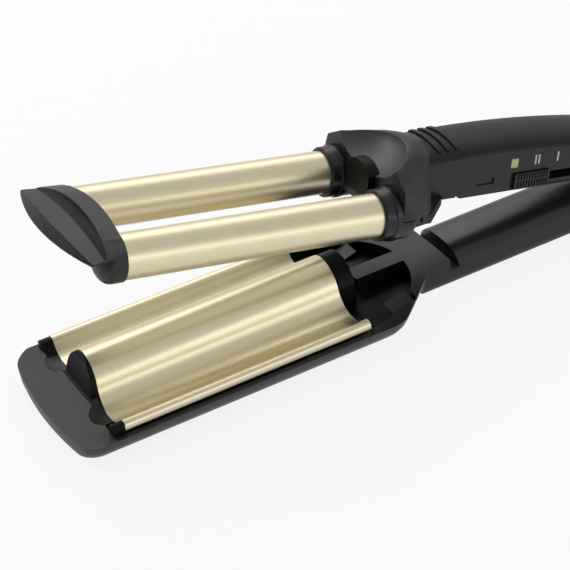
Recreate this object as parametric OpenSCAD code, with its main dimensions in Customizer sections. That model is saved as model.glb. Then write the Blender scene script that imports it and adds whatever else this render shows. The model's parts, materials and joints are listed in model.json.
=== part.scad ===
// Twin-barrel hair waver. The lower arm lies on its flat underside and the
// upper arm is held open by the hinge spring.
// Origin: on the resting plane, straight below the hinge axis.
// -X points to the tip, -Y to the side with the switch, +Z is up.

/* [Barrels] */
// Outside diameter of each heated barrel
barrel_d = 19; // [18:0.25:19.5]
// Distance between the two barrel axes
barrel_pitch = 45.6; // [45:0.2:46.6]
// Visible length of a barrel between its collar and the cap
barrel_run = 117; // [110:0.2:117.4]
// Wall of a barrel tube
barrel_wall = 0.9; // [0.7:0.1:1.4]
// Gap for the hair between a barrel and the wave plate
hair_gap = 1; // [0.8:0.1:1.4]

/* [Cap] */
// Depth of the cap from its rear edge to the lip, along the barrels
cap_depth = 24.7; // [24.4:0.1:26]
// Distance that a barrel reaches into the cap
cap_grip = 4.2; // [3.8:0.1:5]
// Width of the cap across both barrels
cap_w = 72.6; // [71:0.2:74]
// Radius of the cap's lip, seen from above
lip_r = 106; // [100:1:130]
// Radius of the cap's rear edge, seen from above
rear_r = 300; // [200:5:400]
// Number of grip ribs on the lip
lip_ribs = 6; // [4:1:7]
// Height of the ribbed lip
lip_h = 4.6; // [4.2:0.1:5]
// Height of the cap's crown above the barrel axes
cap_crown = 13; // [12.4:0.1:14]
// Radius of the hollow between the lip and the crown
scoop_r = 7; // [6:0.5:8]
// Radius of the crown's arch across the cap
crown_r = 95; // [85:1:110]

/* [Head] */
// Half width of the head's side facets
head_half = 30.4; // [29.5:0.1:31.5]
// Height of the head's crown above the barrel axes
head_crown = 22.2; // [21.4:0.1:22.6]
// Height of the seam between the head shells above the barrel axes
head_seam = 0.4; // [0:0.1:1]
// Length of a collar in front of the head
collar_l = 7.4; // [6.4:0.2:8.4]
// Wall of a collar over the barrel
collar_wall = 1.6; // [1.2:0.1:1.8]
// Half width of the nose block between the collars
nose_half = 9.5; // [8.5:0.1:10]

/* [Handles] */
// Distance from the hinge axis to the front wall of the head
arm_l = 147; // [140:1:148]
// Width of the upper handle
grip_w = 31; // [30.4:0.2:31.6]
// Height of the upper handle's crown above the barrel axes
grip_crown = 21.5; // [20.5:0.1:21.7]
// Depth of the upper handle below the barrel axes
grip_belly = 3.9; // [3.6:0.1:4]
// Bend radius of the upper handle's back
grip_bend = 520; // [480:10:600]
// Height of the crown part above the seam
crown_h = 5.1; // [4.8:0.1:5.6]
// Wall of the upper handle
grip_wall = 2.2; // [2:0.1:2.4]
// Number of raised ribs behind the head
thumb_ribs = 3; // [1:1:3]

/* [Lower arm] */
// Width of the tray around the wave plate
tray_w = 86.2; // [86:0.2:88]
// Distance from the hinge axis to the tip of the tray
tip_l = 301.5; // [300.5:0.5:304]
// Radius of the tray's lower edge
keel_r = 17; // [15:0.5:18]
// Height of the seam between the lower shell and the tray frame
seam_z = 7.2; // [6.6:0.1:7.4]
// Height of the tray frame in the middle of the neck
neck_z = 15; // [14.6:0.1:15.4]
// Width of the lower handle
lower_w = 32.8; // [32.6:0.1:33.4]
// Height of the lower handle's crown above the resting plane
lower_crown = 16.2; // [15.6:0.1:16.4]
// Wall of the lower handle
lower_wall = 2.2; // [2:0.1:2.6]

/* [Wave plate] */
// Length of the wave plate
plate_l = 115.4; // [110:0.2:116]
// Distance from the hinge axis to the rear edge of the wave plate
plate_rear = 165.9; // [165:0.1:167]
// Thickness of the sheet
plate_t = 1; // [0.8:0.1:1.2]
// Height of the middle ridge above the barrel axes when closed
ridge_h = 7.7; // [7:0.1:8.2]
// Lean of the plate's front edge, along per height
end_lean = 0.1; // [0:0.02:0.16]

/* [Hinge] */
// Height of the hinge axis above the resting plane
hinge_z = 21.2; // [21.2:0.1:21.8]
// Opening angle at rest
open_angle = 12.8; // [11:0.2:13.4]
// Diameter of the hinge pin
pin_d = 4; // [3.4:0.1:4.4]
// Radius of the hinge ears
ear_r = 11; // [10:0.25:11.2]
// Thickness of each hinge ear
ear_t = 4.2; // [3.8:0.1:4.4]
// Wire of the hinge spring
wire_d = 1.4; // [1.2:0.1:1.5]
// Turns of the hinge spring
spring_turns = 4; // [3:1:4]

/* [Switch] */
// Length of the slide switch button
slider_l = 18.4; // [17:0.2:19]
// Height of the slide switch button
slider_h = 7.4; // [6.6:0.1:7.8]
// Travel of the slide switch from II to 0
slider_travel = 22; // [20:0.5:22]
// Distance from the hinge to the button's centre at II
slider_x = 69.6; // [69:0.1:70.4]

/* [Cord outlet] */
// Bore of the cord outlet
cord_d = 6.6; // [5.6:0.1:7]
// Outside diameter of the swivel stem
stem_d = 10.4; // [10:0.1:10.8]
// Length of the outlet behind the handle
outlet_l = 13; // [11:0.5:16]

/* [Hidden] */
$fn = 64;
fit = 0.06;   // clearance of parts fixed in each other
run = 0.06;   // radial clearance of parts that turn in each other
play = 0.35;  // side play of moving parts
eps = 0.01;
screw_r = 1.1;
screw_hole = 1.25;
screw_pilot = 1.1;
screw_head = 2.1;
lower_half = lower_w / 2;
board_z = 6.2;
board_posts = [-94, -41.5];
handle_posts = [-102, -33];
head_posts = 12;

dark = [0.13, 0.13, 0.14];
black = [0.05, 0.05, 0.055];
gloss = [0.08, 0.08, 0.09];
gold = [0.78, 0.72, 0.55];
steel = [0.7, 0.7, 0.72];
brass = [0.75, 0.6, 0.3];
ceramic = [0.85, 0.84, 0.8];
green = [0.12, 0.35, 0.2];

// Places the upper arm's pieces, drawn closed, at the opening angle
module upper() {
    translate([0, 0, hinge_z]) rotate([0, open_angle, 0]) children();
}

// Extrudes a YZ outline along X from x0 to x1
module along_x(x0, x1) {
    translate([x0, 0, 0]) rotate([90, 0, 90]) linear_extrude(x1 - x0) children();
}

// Extrudes an XZ outline along Y from y0 to y1
module along_y(y0, y1) {
    translate([0, y1, 0]) rotate([90, 0, 0]) linear_extrude(y1 - y0) children();
}

// A round bar along X
module rod_x(x0, x1, r) {
    translate([x0, 0, 0]) rotate([0, 90, 0]) cylinder(h = x1 - x0, r = r);
}

// A round bar along Y
module rod_y(y0, y1, r) {
    translate([0, y1, 0]) rotate([90, 0, 0]) cylinder(h = y1 - y0, r = r);
}

// A box given by its two corners
module block(a, b) {
    translate(a) cube(b - a);
}

module mirrored() {
    children();
    mirror([0, 1, 0]) children();
}

function arc(cx, cy, r, a0, a1, n = 10) =
    [for (i = [0:n]) let (a = a0 + (a1 - a0) * i / n) [cx + r * cos(a), cy + r * sin(a)]];
function turned(p) = [for (i = [len(p) - 1:-1:0]) p[i]];

// ---- barrels, drawn closed about the hinge axis
barrel_r = barrel_d / 2;
barrel_y = barrel_pitch / 2;
bore_r = barrel_r - barrel_wall;
head_x = -arm_l;
collar_x = head_x - collar_l;
barrel_end = collar_x - barrel_run;
cap_rear = barrel_end + barrel_y * barrel_y / 2 / rear_r;
cap_x = cap_rear - cap_depth;
barrel_seat = 7;

module barrel(side) {
    color(gold) upper() translate([0, side * barrel_y, 0]) difference() {
        rod_x(barrel_end - cap_grip + fit, head_x + barrel_seat, barrel_r);
        rod_x(barrel_end - cap_grip - 1, head_x + barrel_seat + 1, bore_r);
    }
}
module barrel_near() barrel(-1);
module barrel_far() barrel(1);

// A rounded lip in front and a wider foot on the head's front wall
module collar(side) {
    lip = barrel_r + collar_wall;
    foot = lip + 0.7;
    color(dark) upper() translate([0, side * barrel_y, 0]) rotate([0, 90, 0])
        rotate_extrude() polygon(concat(
            [[barrel_r + fit, collar_x + 0.5]],
            arc(lip - 0.7, collar_x + 0.7, 0.7, -90, 0, 5),
            [[lip, head_x - 3.4]],
            arc(foot - 0.6, head_x - 2.2, 0.6, -70, 0, 4),
            [[foot, head_x], [barrel_r + fit, head_x]]
        ));
}
module collar_near() collar(-1);
module collar_far() collar(1);

// Aluminium core with a slot for the ceramic strip
slot_w = 10;
slot_h = 4;
module heater_core(side) {
    color(steel) upper() translate([0, side * barrel_y, 0]) difference() {
        rod_x(barrel_end + 1, head_x - 1, bore_r - fit);
        along_x(barrel_end, head_x) square([slot_w, slot_h], center = true);
    }
}
module heater_core_near() heater_core(-1);
module heater_core_far() heater_core(1);

module heater_strips() {
    color(ceramic) upper() mirrored() translate([0, -barrel_y, 0])
        along_x(barrel_end + 3, head_x + 3)
            square([slot_w - 2 * fit, slot_h - 2 * fit], center = true);
}

// ---- cap across the barrel ends
ear_cap_r = barrel_r + 0.5;
ear_l = 6;
lip_z = 5;
lip_top = lip_z + lip_h;
lip_lean = 0.65;
band_r = 170;
rib_h = lip_h / lip_ribs;
scoop_x = cap_x + 10.4;
pocket_half = barrel_y - barrel_r + 0.4;
pocket_top = ridge_h - 1.3;

// Plan of the cap behind its lip: a flat arc with slanted ends
module cap_plan() {
    h = cap_w / 2;
    intersection() {
        translate([cap_rear - rear_r, 0]) circle(rear_r, $fn = 180);
        polygon([[cap_x - 1, h + 1.8], [cap_rear + 1, h - 5], [cap_rear + 1, 5 - h], [cap_x - 1, -h - 1.8]]);
    }
}

// Disc whose leaning edge carries the grip ribs
module lip_disc() {
    translate([cap_x + lip_r, 0, 0]) rotate_extrude($fn = 180) polygon(concat(
        [[0, lip_z]],
        [for (i = [0:lip_ribs - 1]) each [
            [lip_r - lip_lean * rib_h * i, lip_z + rib_h * i],
            [lip_r - lip_lean * rib_h * (i + 0.5), lip_z + rib_h * (i + 0.55)],
            [lip_r - lip_lean * rib_h * (i + 0.8) - 0.35, lip_z + rib_h * (i + 0.8)]
        ]],
        [[lip_r - lip_lean * lip_h - 0.3, lip_z + lip_h + 2], [0, lip_z + lip_h + 2]]
    ));
}

// Closed end cap round a barrel
module cap_ear() {
    translate([0, -barrel_y, 0]) rotate([0, 90, 0]) rotate_extrude() polygon(concat(
        [[0, barrel_end], [ear_cap_r, barrel_end]],
        [for (i = [0:8]) let (a = 10 * i)
            [ear_cap_r * cos(a), barrel_end - cap_grip - 0.6 - ear_l * sin(a)]],
        [[0, barrel_end - cap_grip - 0.6 - ear_l * sin(80)]]
    ));
}

module front_cap() {
    color(dark) upper() difference() {
        union() {
            intersection() {
                lip_disc();
                linear_extrude(20) cap_plan();
                translate([0, 0, lip_top - band_r]) rod_x(cap_x - 1, cap_rear + 1, band_r, $fn = 720);
            }
            intersection() {
                translate([0, 0, lip_z + 0.4]) linear_extrude(12) cap_plan();
                translate([0, 0, cap_crown - crown_r]) rod_x(cap_x - 1, cap_rear + 1, crown_r, $fn = 720);
                difference() {
                    block([scoop_x, -cap_w, 0], [cap_rear + 1, cap_w, 20]);
                    // The hollow follows the lip's arch
                    translate([0, 0, lip_top - band_r]) rotate([0, -90, 0]) rotate_extrude($fn = 360)
                        translate([band_r + scoop_r - 0.3, -scoop_x]) circle(scoop_r);
                }
            }
            mirrored() cap_ear();
        }
        // Room for the plate's ridge and its front block when closed
        block([cap_x + 7.4, -pocket_half, -20], [cap_rear + 5, pocket_half, pocket_top]);
        mirrored() translate([0, -barrel_y, 0]) {
            rod_x(barrel_end - cap_grip, cap_rear + 5, barrel_r + fit);
            rod_x(barrel_end - cap_grip - 1.5, cap_rear, bore_r);
        }
    }
}

// ---- upper handle, drawn closed about the hinge axis
grip_half = grip_w / 2;
bend_x = -93;
bend_z = grip_crown - grip_bend;
seam_r = grip_bend - crown_h;
grip_end = -12.8;
notch_x = -107;
grip_front = head_x + 14;

function bend_a(x) = asin((x - bend_x) / grip_bend);
function grip_z(x) = bend_z + grip_bend * cos(bend_a(x));

// Sweeps a profile (radius, y) along the bend of the back
module swept(x0, x1) {
    translate([bend_x, 0, bend_z]) rotate([90, 0, 0]) rotate([0, 0, 90 - bend_a(x1)])
        rotate_extrude(angle = bend_a(x1) - bend_a(x0), $fn = 360) children();
}

// Half ellipse of the crown, grown by g, over the seam radius
function crown(g, n = 20) = [for (i = [0:n]) let (a = -90 + 180 * i / n)
    [seam_r + (crown_h + g) * cos(a), (grip_half + g) * sin(a)]];

// Section of the upper handle with rounded lower edges
module grip_section(g, r) {
    h = grip_half + g;
    polygon(concat(
        [[h, 30]], [[-h, 30]],
        arc(-h + r, -grip_belly - g + r, r, 180, 270, 6),
        arc(h - r, -grip_belly - g + r, r, 270, 360, 6)
    ));
}

module handle_top() {
    lip = grip_half - grip_wall - fit;
    color(dark) upper() difference() {
        union() {
            difference() {
                swept(grip_front + 2, grip_end) polygon(crown(0));
                swept(grip_front, grip_end - grip_wall) polygon(concat(
                    [[seam_r - 5, 0.4 - lip + 1.2], [seam_r - 5, lip - 1.6]],
                    turned(crown(-grip_wall))
                ));
            }
            // Locating lips inside the handle body
            swept(grip_front + 16, grip_end - 8) difference() {
                translate([seam_r - 2.4, -lip]) square([3.6, 2 * lip]);
                translate([seam_r - 3, -lip + 1.4]) square([6, 2 * lip - 2.8]);
            }
            // Raised ribs for the thumb
            for (i = [0:thumb_ribs - 1])
                intersection() {
                    swept(-118.6 + 4.5 * i, -116.4 + 4.5 * i) polygon(crown(0.9));
                    block([-130, -12.2, 0], [-90, 12.2, 40]);
                }
            // Screw bosses
            for (x = handle_posts)
                translate([x, 0, 6]) cylinder(h = grip_z(x) - 7, r = 2.6);
        }
        for (x = handle_posts)
            translate([x, 0, 0]) cylinder(h = grip_z(x) - 3, r = screw_pilot);
    }
}

// Outline of the knuckle that turns between the ears
knuckle_half = lower_half - ear_t - play;
knuckle_r = 11.4;
bush_r = pin_d / 2 + 1.3;
spring_half = (spring_turns + 1) * (wire_d + 0.5) / 2 + 0.5;
coil_r = pin_d / 2 + 0.6 + wire_d / 2;
boss_r = stem_d / 2 + 3.2;
boss_x = 17;

// Where the slide switch runs
slot_front = -slider_x - slider_l / 2 - 2.1;
slot_rear = -slider_x + slider_l / 2 + slider_travel + 2.4;
slider_z = 1.3;
neck_l = 11;

module grip_cavity() {
    h = grip_half - grip_wall;
    intersection() {
        block([grip_front + 3, -h, -grip_belly + grip_wall], [grip_end - 3.5, h, 40]);
        difference() {
            block([-400, -50, -50], [100, 50, 50]);
            block([grip_front - 1, -h, -10], [notch_x + 3.8, h, -2 + grip_wall]);
        }
    }
}

module handle_body() {
    color(dark) upper() difference() {
        union() {
            intersection() {
                along_x(grip_front, grip_end) grip_section(0, 3);
                translate([bend_x, 0, bend_z]) rod_y(-40, 40, seam_r, $fn = 360);
                difference() {
                    block([grip_front, -40, -20], [grip_end, 40, 40]);
                    block([grip_front - 1, -40, -20], [notch_x - 1.8, 40, -2]);
                    block([notch_x - 1.8, -40, -20], [notch_x + 1.8, 40, -1]);
                }
            }
            rod_y(-knuckle_half, knuckle_half, knuckle_r);
            along_y(-knuckle_half, knuckle_half)
                polygon([[grip_end - 3, -grip_belly], [0, -9], [0, 11], [grip_end - 3, 10]]);
            rod_x(0, boss_x, boss_r);
        }
        difference() {
            grip_cavity();
            for (x = handle_posts)
                translate([x, 0, -10]) cylinder(h = 15.5, r = 3.4);
            for (x = board_posts) for (y = [-8.5, 8.5])
                translate([x, y, -10]) cylinder(h = board_z + 10, r = 2);
        }
        for (x = handle_posts) {
            translate([x, 0, -10]) cylinder(h = 20, r = screw_hole);
            translate([x, 0, -10]) cylinder(h = 10 - grip_belly + 2.4, r = screw_head + 0.2);
        }
        // Channel for the cord from the outlet past the pin into the handle
        block([grip_end - 5, -5.5, bush_r + 1.6], [9, 5.5, 7.4]);
        // Bushes and spring
        rod_y(-40, 40, bush_r + fit);
        rod_y(-spring_half, spring_half, coil_r + wire_d);
        along_y(-spring_half, spring_half)
            polygon([[-5, -2], [-5, -20], [8, -20], [5, 0]]);
        along_y(-spring_half, spring_half)
            polygon([[0, -4.4], [-16, -7.5], [-17, 5], [-1, 4]]);
        // Seat of the swivel stem with its groove
        rod_x(7, boss_x + 1, stem_d / 2 + run);
        rod_x(8.6, 11.4, stem_d / 2 + 1.4);
        // Recess and slot of the slide switch
        block([slot_front, -20, slider_z - slider_h / 2 - 0.3],
              [slot_rear, -grip_half + 1, slider_z + slider_h / 2 + 0.8]);
        block([-slider_x - neck_l / 2 - 0.4, -20, slider_z - 2],
              [-slider_x + neck_l / 2 + slider_travel + 0.4, -grip_half + 5, slider_z + 2]);
        // Shallow recess ahead of the switch
        block([-98.7, -20, 2], [-89.5, -grip_half + 0.8, 5]);
        // Indicator window
        block([-81.5, -20, 8.1], [-77.7, -grip_half + 5, 12.4]);
    }
}

module indicator_window() {
    color(gold) upper()
        block([-81.5 + fit, -grip_half - 0.15, 8.1 + fit], [-77.7 - fit, -grip_half + grip_wall, 12.4 - fit]);
}

module circuit_board() {
    color(green) upper() {
        difference() {
            block([-97, -12.6, board_z], [-38.5, 12.6, board_z + 1.6]);
            for (x = board_posts) for (y = [-8.5, 8.5])
                translate([x, y, 0]) cylinder(h = 20, r = 0.9);
        }
        block([-91, -3, board_z + 1.6], [-83, 9, board_z + 7.6]);
        block([-72, -4, board_z + 1.6], [-58, 6, board_z + 6.6]);
        translate([-52, 4, board_z + 1.6]) cylinder(h = 6, r = 3.2);
        translate([-79.6, -9.5, board_z + 1.6]) cylinder(h = 5, r = 1.6);
    }
}

module switch_box() {
    y0 = -grip_half + grip_wall + 1.8;
    color(black) upper() difference() {
        block([-79, y0, -1.6], [-44, y0 + 5, board_z]);
        block([-slider_x - 2.4, y0 - 1, slider_z - 1.2],
              [-slider_x + slider_travel + 2.4, y0 + 2.6, slider_z + 1.2]);
    }
}

// Button with two rows of grip ribs, a neck and a guide plate behind the wall
module switch_slider() {
    y0 = -grip_half;
    yi = -grip_half + grip_wall;
    color(black) upper() translate([-slider_x, 0, slider_z]) {
        block([-slider_l / 2, y0 - 0.7, -slider_h / 2], [slider_l / 2, y0 + 0.9, slider_h / 2]);
        for (row = [-1, 1]) for (i = [-5:5])
            translate([1.5 * i, y0 - 1.3, row * slider_h / 4 - 1.3]) cube([0.8, 0.7, 2.6]);
        block([-neck_l / 2, y0 + 0.8, -1.8], [neck_l / 2, yi + 0.3, 1.8]);
        block([-neck_l / 2 - 1.5, yi + 0.15, -2.8], [neck_l / 2 + 1.5, yi + 1.3, 3.2]);
        block([-1.6, yi + 1.2, -0.9], [1.6, yi + 3.9, 0.9]);
    }
}

// ---- head shells, drawn closed about the hinge axis
hood_r = barrel_r + 2;
hood_half = barrel_y + hood_r;
head_floor = -grip_belly;
ring_x = head_x + 20;
screw_x = head_x + 10.6;

// Small balls whose hull gives softly rounded edges
module ball_at(points, r) {
    for (p = points) translate(p) sphere(r, $fn = 12);
}
function both(points) = concat(points, [for (p = points) [p[0], -p[1], p[2]]]);

// Outside of the upper shell without the hoods, shrunk by g
module head_hull(g) {
    s = head_half - g;
    t = head_crown - g;
    b = head_seam - 1;
    hull() ball_at(both([
        [head_x + 1 + g, hood_half - 1 - g, b],
        [head_x + 1 + g, hood_half - 1.2 - g, 8.5],
        [head_x + 1 + g, hood_half - 2.4 - g, 13 - g],
        [head_x + 1 + g, 22 - g, t - 3.8],
        [head_x + 7, 19 - g, t - 2.2],
        [head_x + 10.5, 14.6 - g, t - 1.2],
        [head_x + 16, 8.2 - g, t - 0.4],
        [head_x + 19, 3 - g, t - 0.2],
        [head_x + 9, s - 1, 8.6 - g],
        [head_x + 15.8 - g, s - 1, b],
        [ring_x - g, grip_half + 1, b],
        [ring_x + 0.8 - g, grip_half + 0.4, 7],
        [ring_x + 2.4 - g, grip_half - 0.2, 14],
        [ring_x + 4 - g, 12, 18.6],
        [ring_x + 5.5 - g, 3, t - 1.4]
    ]), 1);
}

// Hollow that dips from the crown towards the nose block, grown by g
module head_dip(g) {
    hull() ball_at(both([
        [head_x - 3, 21.5, 20], [head_x - 3, nose_half + 0.6, 11.2],
        [head_x + 12, 4, head_crown + 0.9], [head_x + 12, 4, 30], [head_x - 3, 22, 30]
    ]), 0.8 + g);
}

// Nose block with an arched top
module nose(x0, x1, g) {
    r = 12.6 - g;
    along_x(x0, x1) polygon(concat(
        [[nose_half - g, -2.6 + g]], arc(0, 2.9, r, 40, 140, 12), [[g - nose_half, -2.6 + g]]
    ));
}

// Half round hood that holds a barrel
module hood(r) {
    rotate([0, 90, 0]) rotate_extrude() polygon(concat(
        [[0, head_x], [r, head_x]],
        arc(r - 3, head_x + 5, 3, 0, 90, 5),
        [[0, head_x + 8]]
    ));
}

// Envelope of the upper handle, grown by g
module grip_envelope(g) {
    intersection() {
        along_x(grip_front - g, ring_x + 30) grip_section(g, 3);
        block([grip_front - 1, -40, -2 - g], [ring_x + 30, 40, 40]);
        translate([bend_x, 0, bend_z]) rod_y(-40, 40, seam_r + 0.1, $fn = 360);
    }
    swept(grip_front - 0.1, ring_x + 30) polygon(crown(g));
}

module head_top() {
    color(dark) upper() difference() {
        union() {
            head_hull(0);
            nose(head_x - 3.3, head_x + 9, 0);
            mirrored() translate([0, -barrel_y, 0]) hood(hood_r);
        }
        difference() {
            head_dip(0);
            nose(head_x - 3.4, head_x + 6, 0);
        }
        difference() {
            head_hull(2);
            head_dip(2);
            nose(head_x - 3.4, head_x + 9, 0);
            mirrored() translate([screw_x, head_posts, 0]) cylinder(h = 30, r = 2.8);
        }
        mirrored() translate([screw_x, head_posts, 0]) cylinder(h = 7, r = screw_pilot);
        grip_envelope(fit);
        mirrored() translate([0, -barrel_y, 0]) {
            rod_x(head_x - 5, head_x + barrel_seat + 0.3, barrel_r + fit);
            rod_x(head_x + 5, head_x + 12, bore_r);
        }
        block([head_x - 10, -50, -30], [ring_x + 20, 50, head_seam]);
    }
}

module head_bottom() {
    h = grip_half + 0.9;
    s = head_half;
    color(dark) upper() difference() {
        union() {
            translate([0, 0, head_floor]) linear_extrude(head_seam - head_floor) polygon([
                [head_x, -hood_half + 2], [head_x + 4, -hood_half + 1.4], [head_x + 14, -s], [head_x + 16.6, -s],
                [head_x + 16.6 + s - h, -h], [head_x + 16.6 + s - h, h],
                [head_x + 16.6, s], [head_x + 14, s], [head_x + 4, hood_half - 1.4], [head_x, hood_half - 2]
            ]);
            nose(head_x - 3.3, head_x + 3, 0);
            mirrored() translate([0, -barrel_y, 0]) hood(hood_r);
        }
        // Cavity behind the front wall
        translate([0, 0, head_floor + 1.9]) linear_extrude(20) polygon([
            [head_x + 10, 2 - s], [head_x + 14, 2.4 - s], [grip_front - 1, 4 - s],
            [grip_front - 1, s - 4], [head_x + 14, s - 2.4], [head_x + 10, s - 2]
        ]);
        grip_envelope(fit);
        mirrored() translate([0, -barrel_y, 0]) {
            rod_x(head_x - 5, head_x + barrel_seat + 0.3, barrel_r + fit);
            rod_x(head_x + 5, head_x + 12, bore_r);
        }
        block([head_x - 10, -50, head_seam], [ring_x + 20, 50, 30]);
        mirrored() translate([screw_x, head_posts, -10]) {
            cylinder(h = 20, r = screw_hole);
            cylinder(h = 10 + head_floor + 0.8, r = screw_head + 0.2);
        }
    }
}

// ---- screws
// A pan head screw that points up, its head's underside at z = 0
module screw(l) {
    difference() {
        union() {
            translate([0, 0, -1.4]) cylinder(h = 1.4, r = screw_head);
            cylinder(h = l, r = screw_r);
        }
        for (a = [0, 90]) rotate(a) translate([-1.2, -0.3, -1.5]) cube([2.4, 0.6, 0.9]);
    }
}

module handle_screws() {
    color(steel) upper() {
        for (x = handle_posts) translate([x, 0, 2.4 - grip_belly]) screw(14);
        mirrored() translate([screw_x, head_posts, head_floor + 0.8]) screw(9);
    }
}

// ---- hinge, at the hinge axis
coil_n = 16;

module hinge_pin() {
    color(steel) translate([0, 0, hinge_z]) {
        rod_y(-lower_half + 0.3, lower_half - 0.3, pin_d / 2);
    }
}

module hinge_bushes() {
    color(brass) upper() mirrored() difference() {
        union() {
            rod_y(-knuckle_half, -spring_half - 0.3, bush_r);
            rod_y(-knuckle_half - play * 0.6, -knuckle_half, bush_r + 1.4);
        }
        rod_y(-knuckle_half - 2, 0, pin_d / 2 + run);
    }
}

// Torsion spring: one unbroken wire with a leg at each end
spring_pitch = wire_d + 0.5;
spring_w = spring_turns * spring_pitch;
function coil_point(a) = [coil_r * cos(a), -spring_w / 2 + spring_pitch * a / 360, coil_r * sin(a)];

module hinge_spring() {
    a0 = 180;
    turns = 360 * spring_turns + 75;
    ring = 6;
    steps = spring_turns * coil_n + 3;
    path = concat(
        [[-coil_r - 0.1, -spring_w / 2 - 0.1, -10.2]],
        [for (i = [0:steps]) let (a = a0 + turns * i / steps)
            [coil_r * cos(a), spring_w * (i / steps - 0.5), coil_r * sin(a)]],
        [[coil_r * cos(a0 + turns) - 10.6, spring_w / 2 + 0.1, coil_r * sin(a0 + turns) + 2.2]]
    );
    n = len(path);
    // Directions along the wire and across it
    dirs = [for (i = [0:n - 1]) let (d = path[min(i + 1, n - 1)] - path[max(i - 1, 0)]) d / norm(d)];
    points = [for (i = [0:n - 1]) let (u = cross(dirs[i], [0, 1, 0]), v = u / norm(u), w = cross(dirs[i], v))
        for (k = [0:ring - 1]) path[i] + wire_d / 2 * (cos(60 * k) * v + sin(60 * k) * w)];
    faces = concat(
        [[for (k = [0:ring - 1]) k]],
        [[for (k = [ring - 1:-1:0]) (n - 1) * ring + k]],
        [for (i = [0:n - 2]) for (k = [0:ring - 1])
            [i * ring + k, (i + 1) * ring + k, (i + 1) * ring + (k + 1) % ring, i * ring + (k + 1) % ring]]
    );
    color(steel) translate([0, 0, hinge_z]) polyhedron(points, faces);
    echo(gap_between_turns = spring_pitch * 360 * spring_turns / turns - wire_d);
}

// ---- cord outlet, turning in the boss
module cord_outlet() {
    color(black) upper() rotate([0, 90, 0]) rotate_extrude() polygon(concat(
        [[cord_d / 2, 7.4], [stem_d / 2, 7.4], [stem_d / 2, 8.8], [stem_d / 2 + 1.1, 8.8],
         [stem_d / 2 + 1.1, 11.2], [stem_d / 2, 11.2], [stem_d / 2, boss_x + play]],
        [[boss_r - 0.6, boss_x + play], [boss_r - 0.6, boss_x + 3]],
        [for (i = [0:3]) each [
            [boss_r - 0.9 - 0.55 * i, boss_x + 3.2 + (outlet_l - 4) * i / 4],
            [boss_r - 1 - 0.55 * i, boss_x + 2.6 + (outlet_l - 4) * (i + 0.7) / 4],
            [boss_r - 1.7 - 0.55 * i, boss_x + 2.8 + (outlet_l - 4) * (i + 0.7) / 4],
            [boss_r - 1.8 - 0.55 * i, boss_x + 3 + (outlet_l - 4) * (i + 1) / 4]
        ]],
        [[cord_d / 2 + 1.5, boss_x + outlet_l], [cord_d / 2, boss_x + outlet_l]]
    ));
}

// ---- lower arm
tray_half = tray_w / 2;
tray_r = 200;
tip_keel_r = 5;
trough_r = barrel_r + hair_gap;
wall_y = barrel_y - trough_r;
trough_z = hinge_z - trough_r;
ridge_z = hinge_z + ridge_h;
plate_front = -plate_rear - plate_l;
well_half = tray_half - 3.3;
ledge_z = 11;
ledge_half = barrel_y + 8.4;
neck_x = -122;
groove_front = -112.3;
groove_rear = -107.6;
block_front = plate_front - 5;
fin_front = plate_front - 3.4;
well_front = plate_front - 0.3;
well_rear = 0.4 - plate_rear;
fin_half = wall_y + 0.5;
lip_half = barrel_y + 6.4;
edge_z = lower_crown - 24 + sqrt(24 * 24 - lower_half * lower_half);
floor_t = 2;

// Plan of the tray, inset by g, its tip by t: curved tip, rounded corners, tapered neck
function tray_plan(g, t) = let (
    h = tray_half - g, c = 9, a = asin((h - c) / tray_r), n1 = 47,
    ye = h - c + c * sin(a),
    xe = t - tip_l + ye * ye / 2 / tray_r,
    d = neck_x * cos(n1) + lower_half * sin(n1) - g,
    xr = (d - 12 - (h - 12) * sin(n1)) / cos(n1),
    half = concat(
        [for (i = [0:5]) let (y = ye * i / 6) [t - tip_l + y * y / 2 / tray_r, y]],
        arc(xe + c * cos(a), h - c, c, 180 - a, 90, 7),
        arc(xr, h - 12, 12, 90, n1, 5),
        [[(d - (9 - g / 3) * sin(n1)) / cos(n1), 9 - g / 3]]
    )
) concat(half, [for (i = [len(half) - 1:-1:1]) [half[i][0], -half[i][1]]]);

// Inset of an outline at height z that runs out into a radius r below
function keel(z, r) = z >= r ? 0 : r - sqrt(r * r - (r - z) * (r - z));

// The tray's body, open above
module tray_body() {
    hull() for (z = [0, 0.6, 1.6, 3, 5, 7.2, 10, 13, 15.2])
        translate([0, 0, z]) linear_extrude(0.01) polygon(tray_plan(keel(z, keel_r), keel(z, tip_keel_r)));
}

// Section of the lower handle with rounded lower edges
module lower_section(z) {
    polygon(concat(
        [[lower_half, z], [-lower_half, z]],
        arc(5 - lower_half, 5, 5, 180, 270, 6),
        arc(lower_half - 5, 5, 5, 270, 360, 6)
    ));
}

// Side outline of the hinge ears
module ear_outline() {
    difference() {
        union() {
            translate([0, hinge_z]) circle(ear_r);
            polygon([[-36, 4], [ear_r, 4], [ear_r, hinge_z], [-ear_r, hinge_z], [-13, 16.3], [-36, edge_z - 1]]);
        }
    }
}

tip_post = 10.5 - tip_l;
shell_posts = [[tip_post, -22], [tip_post, 22], [-141, 0], [-118, 0], [-60, 0]];

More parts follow.
